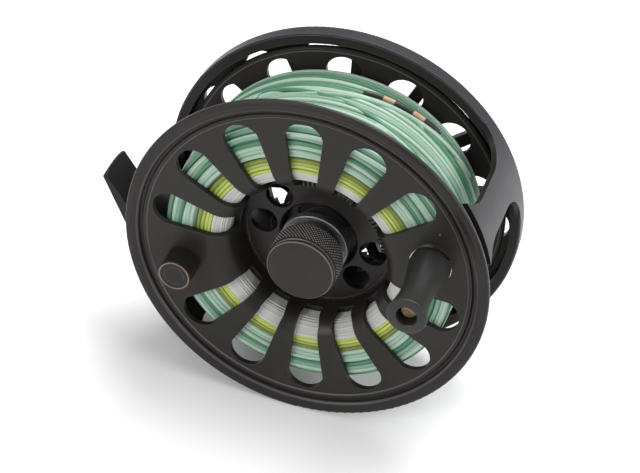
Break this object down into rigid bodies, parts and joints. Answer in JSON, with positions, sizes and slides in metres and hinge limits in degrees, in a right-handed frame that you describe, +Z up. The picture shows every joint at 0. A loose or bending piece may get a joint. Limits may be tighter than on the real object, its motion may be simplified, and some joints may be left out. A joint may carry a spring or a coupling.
{
  "type": "fly fishing reel",
  "caption": "Open-cage fly reel: ported large-arbor spool wound with line, crank handle, counterweight, knurled release knob, rear drag knob and a screwed foot.",
  "frame": {"origin": "on the floor under the middle of the reel, which stands on its two rims and one end of its foot", "axes": "+Y along the spool axis from the handle side to the drag side, +Z up, +X away from the foot"},
  "size_m": [0.1164, 0.072, 0.104],
  "materials": {
    "anodised_black": "satin black anodised",
    "knob_black": "black anodised, knurled",
    "dark_ring": "dark polished",
    "grip_black": "matt black",
    "steel": "machined",
    "ring_metal": "polished",
    "brass": "worn",
    "friction": "woven carbon",
    "backing_white": "braided backing",
    "running_green": "coated line",
    "head_mint": "coated line"
  },
  "bodies": {
    "frame_body": {"frame": "anodised_black", "reel_foot": "anodised_black", "foot_screws": "steel", "spindle": "steel", "bearing_inner_rings": "steel", "drag_housing": "anodised_black", "housing_cover": "anodised_black", "housing_screws": "steel", "friction_discs": "friction", "spring_washers": "steel", "pawl_pin": "steel", "pawl_spring": "steel"},
    "hub_body": {"drag_hub": "steel", "drive_pins": "steel", "bearing_outer_rings": "steel", "bearing_balls": "steel", "click_wheel": "steel", "one_way_clutch": "steel", "brake_rotor": "steel"},
    "spool_body": {"spool": "anodised_black", "backing_winding": "backing_white", "running_line_winding": "running_green", "head_line_winding": "head_mint", "counterweight": "grip_black", "counterweight_screw": "grip_black", "handle_post": "steel", "handle_washer": "ring_metal", "handle_screw": "brass"},
    "grip_body": {"handle_grip": "grip_black"},
    "sleeve_body": {"knob_sleeve": "dark_ring"},
    "knob_body": {"release_knob": "knob_black"},
    "pressure_body": {"pressure_plate": "steel", "push_pins": "steel"},
    "drag_knob_body": {"drag_knob": "anodised_black", "drag_knob_screw": "steel"},
    "pawl_body": {"click_pawl": "steel"}
  },
  "joints": [
    {"name": "spool_spin", "type": "hinge", "parent": "frame_body", "child": "hub_body", "pos_m": [0.00616, -0.01405, 0.052], "axis": [0, -1, 0], "continuous": true},
    {"name": "spool_release", "type": "slide", "parent": "hub_body", "child": "spool_body", "axis": [0, -1, 0], "range_m": [0, 0.045]},
    {"name": "knob_lift", "type": "slide", "parent": "spool_body", "child": "sleeve_body", "axis": [0, -1, 0], "range_m": [0, 0.0011]},
    {"name": "knob_turn", "type": "hinge", "parent": "sleeve_body", "child": "knob_body", "pos_m": [0.00616, -0.01405, 0.052], "axis": [0, -1, 0], "range_deg": [0, 540]},
    {"name": "grip_spin", "type": "hinge", "parent": "spool_body", "child": "grip_body", "pos_m": [0.041, -0.02405, 0.06256], "axis": [0, -1, 0], "continuous": true},
    {"name": "drag_knob_turn", "type": "hinge", "parent": "frame_body", "child": "drag_knob_body", "pos_m": [0.00616, 0.03095, 0.052], "axis": [0, 1, 0], "range_deg": [0, 300]},
    {"name": "drag_press", "type": "slide", "parent": "frame_body", "child": "pressure_body", "axis": [0, -1, 0], "range_m": [0, 0.00061]},
    {"name": "pawl_rock", "type": "hinge", "parent": "frame_body", "child": "pawl_body", "pos_m": [-0.00203, 0.01125, 0.05888], "axis": [0, -1, 0], "range_deg": [0, 8], "stiffness_Nm_per_rad": 0.002}
  ],
  "couplings": [
    {"joint": "knob_lift", "follows": "knob_turn", "m_per_rad": 0.00011141},
    {"joint": "drag_press", "follows": "drag_knob_turn", "m_per_rad": 0.00011459}
  ]
}
